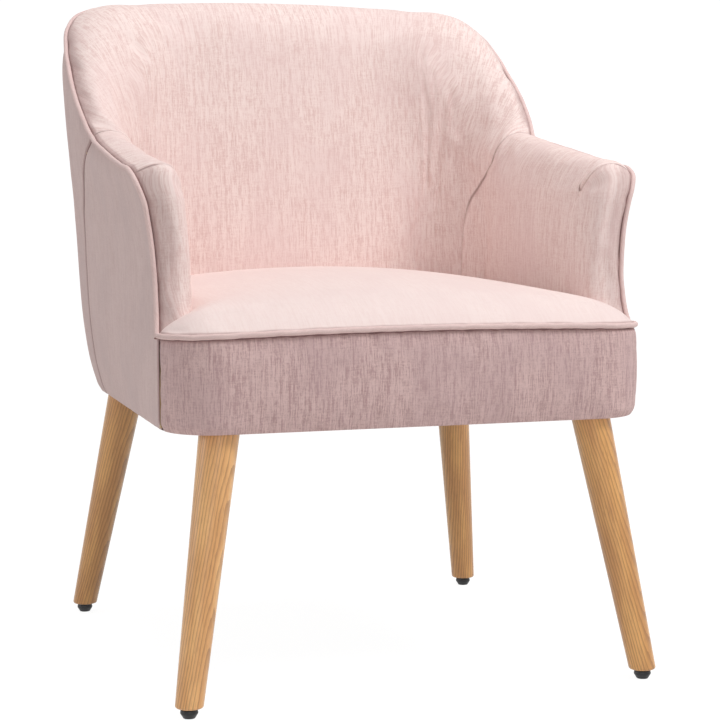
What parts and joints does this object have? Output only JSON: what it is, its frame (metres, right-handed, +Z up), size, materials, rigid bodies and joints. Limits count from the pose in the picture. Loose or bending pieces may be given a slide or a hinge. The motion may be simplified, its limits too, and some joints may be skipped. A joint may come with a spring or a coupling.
{
  "type": "upholstered armchair",
  "caption": "Upholstered tub armchair with low sloping arms that rise into a rounded back, piped edges, a crowned tight seat and splayed tapered wooden legs on levelling glides.",
  "frame": {"origin": "on the floor, under the middle of the chair's overall box", "axes": "+Z up, -Y towards the front of the seat, +X towards the side that is on the right in a front view; symmetric about x = 0"},
  "size_m": [0.6028, 0.6263, 0.8063],
  "materials": {
    "upholstery": "woven, dusty pink",
    "foam": "polyurethane foam",
    "leg_wood": "satin lacquer",
    "frame_wood": "sawn",
    "plywood": "bent plywood",
    "black_plastic": "moulded",
    "zinc_steel": "zinc plated",
    "webbing": "elastic webbing",
    "dust_cloth": "spunbonded cloth"
  },
  "bodies": {
    "root": {"arm_foam_left": "foam", "arm_foam_right": "foam", "arm_piping_left": "upholstery", "arm_piping_right": "upholstery", "arm_ply_left": "plywood", "arm_ply_right": "plywood", "back_foam": "foam", "back_piping": "upholstery", "back_ply": "plywood", "block_inserts": "zinc_steel", "corner_block_front_left": "frame_wood", "corner_block_front_right": "frame_wood", "corner_block_rear_left": "frame_wood", "corner_block_rear_right": "frame_wood", "dust_cover": "dust_cloth", "front_border": "upholstery", "front_padding": "foam", "front_rail": "frame_wood", "glide_sleeves": "zinc_steel", "inside_arm_cover_left": "upholstery", "inside_arm_cover_right": "upholstery", "inside_back_cover": "upholstery", "joint_plates": "zinc_steel", "leg_bolts": "zinc_steel", "leg_front_left": "leg_wood", "leg_front_right": "leg_wood", "leg_rear_left": "leg_wood", "leg_rear_right": "leg_wood", "leg_washers": "black_plastic", "outside_arm_left": "upholstery", "outside_arm_right": "upholstery", "outside_back": "upholstery", "rear_rail": "frame_wood", "seat_cover": "upholstery", "seat_foam": "foam", "seat_piping": "upholstery", "side_rail_left": "frame_wood", "side_rail_right": "frame_wood", "webbing_crosswise": "webbing", "webbing_lengthwise": "webbing"},
    "glide_front_left": {"glide_pad_front_left": "black_plastic", "glide_stem_front_left": "zinc_steel"},
    "glide_front_right": {"glide_pad_front_right": "black_plastic", "glide_stem_front_right": "zinc_steel"},
    "glide_rear_left": {"glide_pad_rear_left": "black_plastic", "glide_stem_rear_left": "zinc_steel"},
    "glide_rear_right": {"glide_pad_rear_right": "black_plastic", "glide_stem_rear_right": "zinc_steel"}
  },
  "joints": [
    {"name": "glide_front_left_screw", "type": "slide", "parent": "root", "child": "glide_front_left", "axis": [0, 0, -1], "range_m": [-0.0019, 0.008]},
    {"name": "glide_front_right_screw", "type": "slide", "parent": "root", "child": "glide_front_right", "axis": [0, 0, -1], "range_m": [-0.0019, 0.008]},
    {"name": "glide_rear_left_screw", "type": "slide", "parent": "root", "child": "glide_rear_left", "axis": [0, 0, -1], "range_m": [-0.0019, 0.008]},
    {"name": "glide_rear_right_screw", "type": "slide", "parent": "root", "child": "glide_rear_right", "axis": [0, 0, -1], "range_m": [-0.0019, 0.008]}
  ]
}
